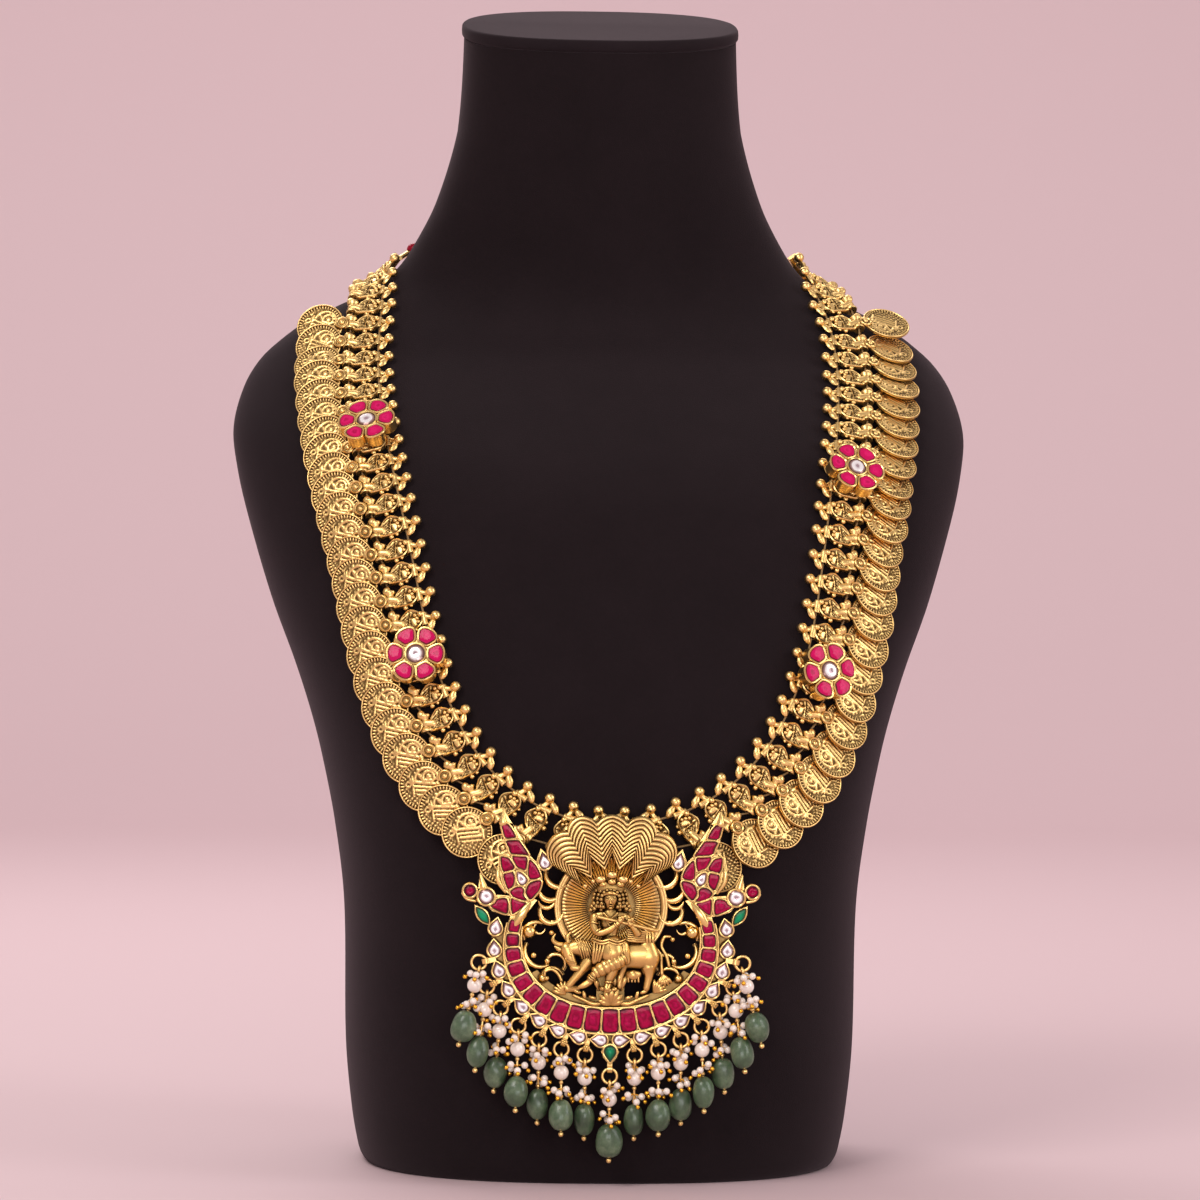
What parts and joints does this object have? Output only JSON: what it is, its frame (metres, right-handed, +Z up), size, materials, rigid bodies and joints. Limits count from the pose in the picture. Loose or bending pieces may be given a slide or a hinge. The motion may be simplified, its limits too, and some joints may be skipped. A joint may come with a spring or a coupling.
{
  "type": "temple jewellery necklace on neck bust",
  "caption": "Long gilt coin necklace with a pierced peacock and flute player pendant, ruby crescent, jade drops and pearls, on a plain black velvet neck bust.",
  "frame": {"origin": "middle of the bust's flat base, where it stands", "axes": "+Z up, the chest and the pendant face -Y, +X to the viewer's right"},
  "size_m": [0.228, 0.1659, 0.36],
  "materials": {
    "velvet": "black velvet stretched over the bust",
    "cap_velvet": "black velvet on the neck's slanted top",
    "gold": "antique gilt, dark in its recesses",
    "thread": "dull golden cord",
    "red_bead": "red glass bead",
    "ruby": "deep red faceted glass in foiled settings",
    "polki": "clear foil-backed glass, cut like old polki stones",
    "emerald": "green faceted glass",
    "jade": "cloudy green polished bead",
    "pearl": "off-white pearl lustre"
  },
  "bodies": {
    "root": {"bust": "velvet", "neck_cap": "cap_velvet", "link_string_left": "gold", "link_string_right": "gold", "inner_thread": "thread", "outer_thread": "thread", "end_bars": "gold", "back_chain": "gold", "back_beads": "red_bead", "clasp": "gold", "flower_setting_1": "gold", "flower_setting_2": "gold", "flower_setting_3": "gold", "flower_setting_4": "gold", "flower_rubies_1": "ruby", "flower_rubies_2": "ruby", "flower_rubies_3": "ruby", "flower_rubies_4": "ruby", "flower_eyes": "polki", "pendant_frame": "gold", "canopy": "gold", "flute_player": "gold", "cow": "gold", "lotus": "gold", "crescent_rubies": "ruby", "border_polki": "polki", "bird_rubies_left": "ruby", "bird_rubies_right": "ruby", "bird_polki": "polki", "canopy_polki": "polki", "green_stones": "emerald", "jump_rings": "gold", "drop_pins": "gold", "pearls": "pearl", "green_bead_1": "jade", "green_bead_2": "jade", "green_bead_3": "jade", "green_bead_4": "jade", "green_bead_5": "jade", "green_bead_6": "jade", "green_bead_7": "jade", "green_bead_8": "jade", "green_bead_9": "jade", "green_bead_10": "jade", "green_bead_11": "jade", "green_bead_12": "jade", "green_bead_13": "jade", "green_bead_14": "jade", "green_bead_15": "jade"}
  },
  "joints": []
}
